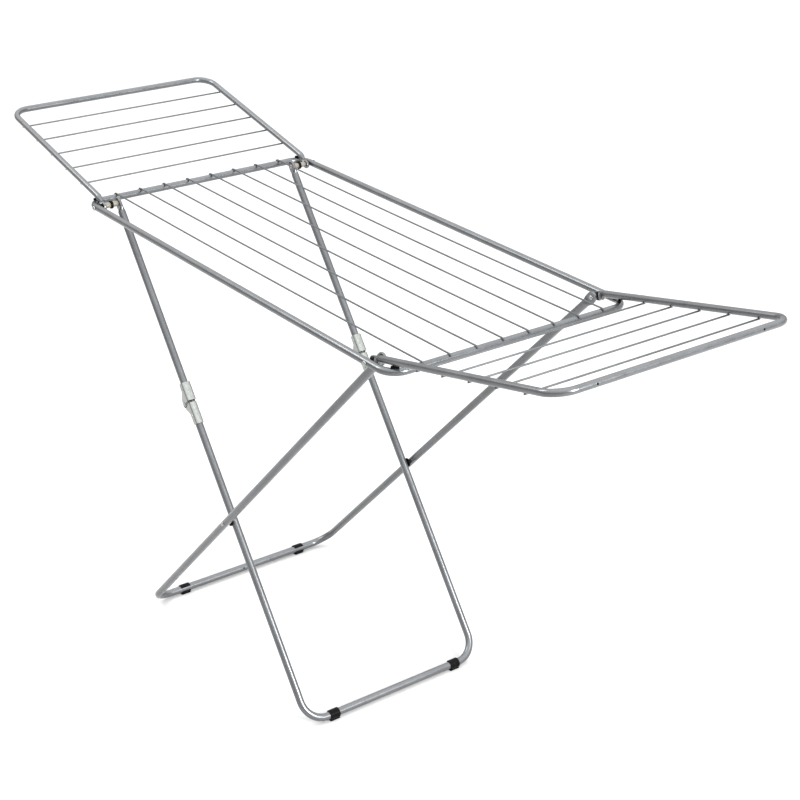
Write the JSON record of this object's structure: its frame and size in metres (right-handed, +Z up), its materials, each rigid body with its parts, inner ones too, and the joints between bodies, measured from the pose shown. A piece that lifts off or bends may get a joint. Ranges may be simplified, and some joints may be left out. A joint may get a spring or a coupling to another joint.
{
  "type": "clothes drying rack",
  "caption": "Folding clothes drying rack with a long wired frame, two raised wired wings and crossed tubular legs with a folding knee.",
  "frame": {"origin": "on the floor, under the centre of the open rack's bounding box", "axes": "+X along the rack from the kneed leg's hinge end to the longer wing, +Y across it, +Z up"},
  "size_m": [1.9772, 0.5884, 1.1108],
  "materials": {
    "silver_grey_paint": "semi-gloss silver-grey powder coat on steel tube",
    "grey_wire": "grey coated steel wire",
    "bright_zinc": "bright zinc plated pressed steel and rivets",
    "ivory_nylon": "moulded ivory nylon",
    "black_plastic": "moulded black plastic"
  },
  "bodies": {
    "main_frame": {"main_frame_tube": "silver_grey_paint", "main_frame_joint_plug": "bright_zinc", "main_wire_1": "grey_wire", "main_wire_2": "grey_wire", "main_wire_3": "grey_wire", "main_wire_4": "grey_wire", "main_wire_5": "grey_wire", "main_wire_6": "grey_wire", "main_wire_7": "grey_wire", "main_wire_8": "grey_wire", "rest_pad_left_front": "black_plastic", "hinge_pin_left_front": "bright_zinc", "rail_washer_left_front": "black_plastic", "rest_pad_left_back": "black_plastic", "hinge_pin_left_back": "bright_zinc", "rail_washer_left_back": "black_plastic", "rest_pad_right_front": "black_plastic", "hinge_pin_right_front": "bright_zinc", "rail_washer_right_front": "black_plastic", "rest_pad_right_back": "black_plastic", "hinge_pin_right_back": "bright_zinc", "rail_washer_right_back": "black_plastic", "hinge_bush_outer_front": "ivory_nylon", "hinge_collar_front": "black_plastic", "hinge_bush_inner_front": "ivory_nylon", "hinge_spacer_right_front": "black_plastic", "hinge_bush_outer_back": "ivory_nylon", "hinge_collar_back": "black_plastic", "hinge_bush_inner_back": "ivory_nylon", "hinge_spacer_right_back": "black_plastic"},
    "left_wing": {"left_wing_tube": "silver_grey_paint", "left_wing_wire_1": "grey_wire", "left_wing_wire_2": "grey_wire", "left_wing_wire_3": "grey_wire", "left_wing_wire_4": "grey_wire", "left_wing_wire_5": "grey_wire"},
    "right_wing": {"right_wing_tube": "silver_grey_paint", "right_wing_wire_1": "grey_wire", "right_wing_wire_2": "grey_wire", "right_wing_wire_3": "grey_wire", "right_wing_wire_4": "grey_wire", "right_wing_wire_5": "grey_wire"},
    "plain_leg": {"plain_leg_frame": "silver_grey_paint", "crossing_rivet_front": "bright_zinc", "crossing_rivet_back": "bright_zinc", "foot_clip_plain_front": "black_plastic", "foot_clip_plain_back": "black_plastic"},
    "kneed_leg_upper": {"kneed_leg_upper_front": "silver_grey_paint", "kneed_leg_upper_back": "silver_grey_paint", "knee_bracket_upper_front": "bright_zinc", "knee_bracket_upper_back": "bright_zinc", "knee_pin_front": "bright_zinc", "knee_pin_back": "bright_zinc"},
    "kneed_leg_lower": {"kneed_leg_lower": "silver_grey_paint", "knee_bracket_lower_front": "bright_zinc", "knee_bracket_lower_back": "bright_zinc", "crossing_disc_front": "black_plastic", "crossing_disc_back": "black_plastic", "foot_clip_kneed_front": "black_plastic", "foot_clip_kneed_back": "black_plastic"}
  },
  "joints": [
    {"name": "left_wing_fold", "type": "hinge", "parent": "main_frame", "child": "left_wing", "pos_m": [-0.53393, 0, 0.987], "axis": [0, 1, 0], "range_deg": [0, 156.5]},
    {"name": "right_wing_fold", "type": "hinge", "parent": "main_frame", "child": "right_wing", "pos_m": [0.49457, 0, 0.987], "axis": [0, -1, 0], "range_deg": [0, 160.5]},
    {"name": "plain_leg_fold", "type": "hinge", "parent": "main_frame", "child": "plain_leg", "pos_m": [0.49457, 0, 0.987], "axis": [0, 1, 0], "range_deg": [0, 44.83]},
    {"name": "kneed_leg_swing", "type": "hinge", "parent": "main_frame", "child": "kneed_leg_upper", "pos_m": [-0.53393, 0, 0.987], "axis": [0, -1, 0], "range_deg": [0, 54.24]},
    {"name": "knee_fold", "type": "hinge", "parent": "kneed_leg_upper", "child": "kneed_leg_lower", "pos_m": [-0.25809, 0, 0.60154], "axis": [0, 1, 0], "range_deg": [0, 179.87]}
  ],
  "couplings": [
    {"joint": "kneed_leg_swing", "follows": "plain_leg_fold", "ratio": 1.2094},
    {"joint": "knee_fold", "follows": "plain_leg_fold", "ratio": 4.0115}
  ]
}
